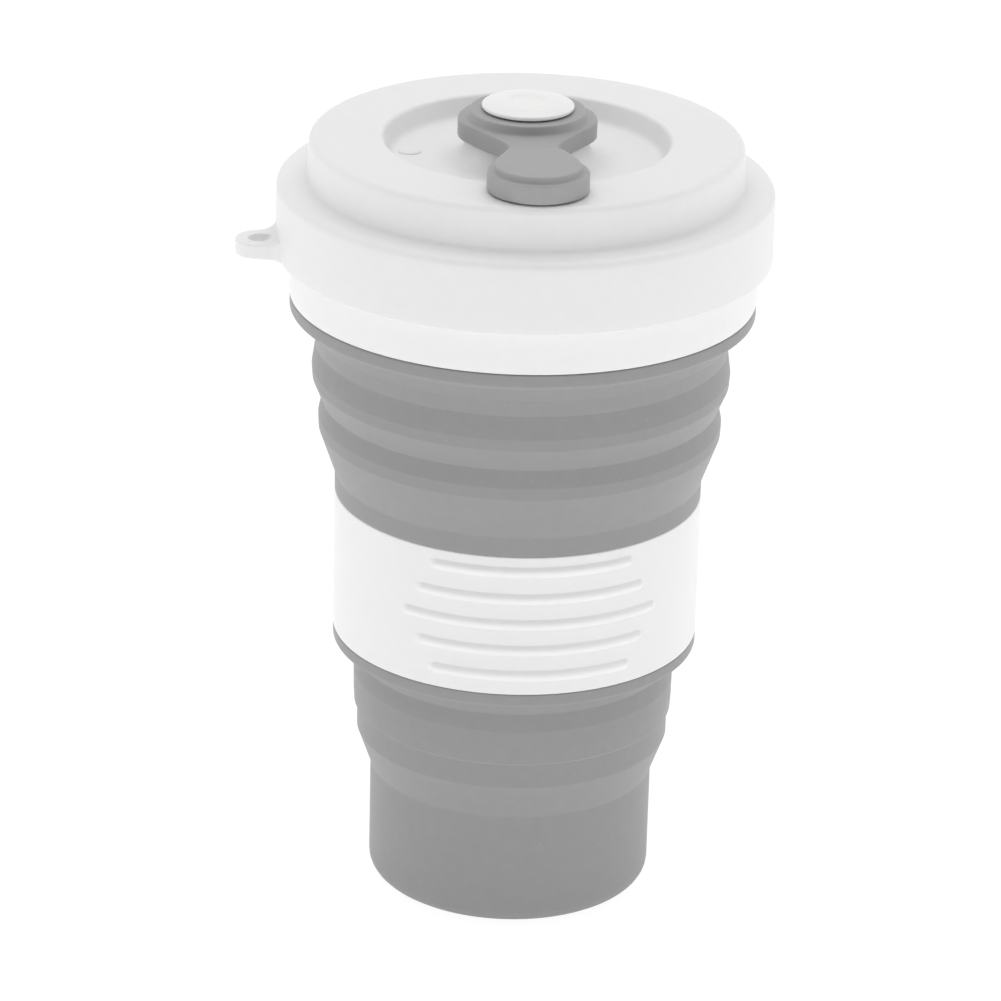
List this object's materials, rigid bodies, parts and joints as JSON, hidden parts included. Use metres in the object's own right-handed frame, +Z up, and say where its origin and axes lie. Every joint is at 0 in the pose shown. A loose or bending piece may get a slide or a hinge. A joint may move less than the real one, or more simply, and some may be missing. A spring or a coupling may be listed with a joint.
{
  "type": "collapsible travel cup",
  "caption": "Tapered silicone travel cup that folds down in two stages, with a hard mouth ring, ribbed grip sleeve, press-fit lid with lanyard tab, and swing-up sip stopper.",
  "frame": {"origin": "centre of the flat underside of the base cup, on the cup's axis", "axes": "+Z up along the cup's axis; the sleeve's ribs and the stopper's plug face -Y; the lid's lanyard tab is at -X"},
  "size_m": [0.1097, 0.1018, 0.1719],
  "materials": {
    "silicone_body": "soft matte silicone, mid grey",
    "silicone_stopper": "soft matte silicone, mid grey",
    "plastic_ring": "satin moulded plastic, white",
    "plastic_sleeve": "satin moulded plastic, white",
    "plastic_lid": "satin moulded plastic, white",
    "plastic_button": "smooth moulded plastic, white"
  },
  "bodies": {
    "base": {"base_cup": "silicone_body", "lower_folds": "silicone_body"},
    "collar": {"mid_collar": "silicone_body", "grip_sleeve": "plastic_sleeve", "upper_folds": "silicone_body"},
    "rim": {"mouth_collar": "silicone_body", "rim_ring": "plastic_ring"},
    "lid": {"lid_shell": "plastic_lid", "stopper_hub": "silicone_stopper", "stopper_neck": "silicone_stopper", "pivot_button": "plastic_button"},
    "plug": {"stopper_plug": "silicone_stopper"}
  },
  "joints": [
    {"name": "lower_collapse", "type": "slide", "parent": "base", "child": "collar", "axis": [0, 0, -1], "range_m": [0, 0.042], "deforming": ["lower_folds"]},
    {"name": "upper_collapse", "type": "slide", "parent": "collar", "child": "rim", "axis": [0, 0, -1], "range_m": [0, 0.05], "deforming": ["upper_folds"]},
    {"name": "lid_lift", "type": "slide", "parent": "rim", "child": "lid", "axis": [0, 0, 1], "range_m": [0, 0.045]},
    {"name": "plug_flip", "type": "hinge", "parent": "lid", "child": "plug", "pos_m": [0.00131, -0.01825, 0.16625], "axis": [-0.9974, -0.0715, 0], "range_deg": [0, 100], "stiffness_Nm_per_rad": 0.01, "deforming": ["stopper_neck"]}
  ]
}
